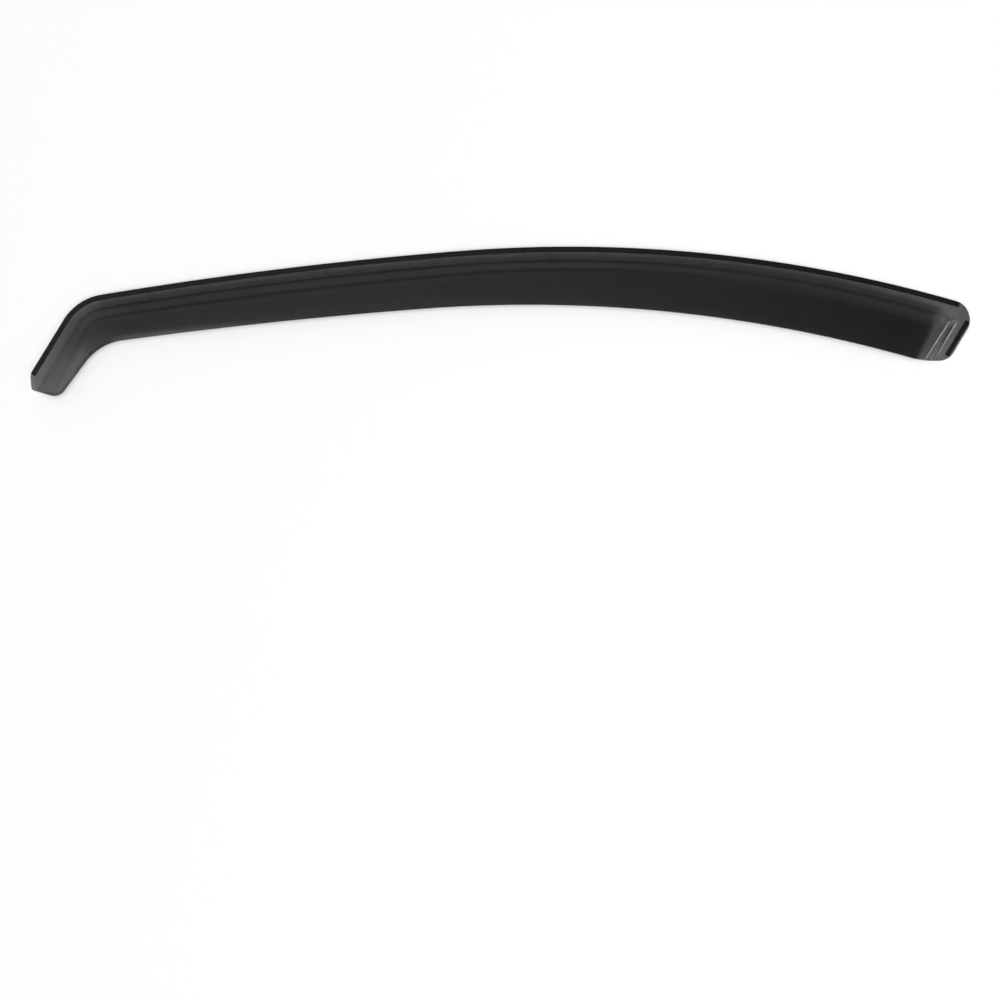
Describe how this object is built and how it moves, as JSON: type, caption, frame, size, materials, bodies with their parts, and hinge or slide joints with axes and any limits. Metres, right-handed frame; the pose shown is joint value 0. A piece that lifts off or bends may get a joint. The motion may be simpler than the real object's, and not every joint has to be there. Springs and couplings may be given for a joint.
{
  "type": "window rain deflector",
  "caption": "Smoked acrylic rain deflector for a car's front door window: an arched blade raised on a stepped flange, with a pillar leg, a closed rear end and foam tape to stick it on.",
  "frame": {"origin": "on the long tape's sticky face, in the middle of its width at the top of the arch", "axes": "+X towards the rear of the car, +Y up the door, +Z outwards from the door"},
  "size_m": [0.9397, 0.1497, 0.0176],
  "materials": {
    "smoked_acrylic": "clear smoked acrylic, glossy both sides",
    "foam_tape": "black closed-cell foam, sticky face down"
  },
  "bodies": {
    "root": {"shield": "smoked_acrylic", "long_tape": "foam_tape", "rear_tape": "foam_tape"}
  },
  "joints": []
}
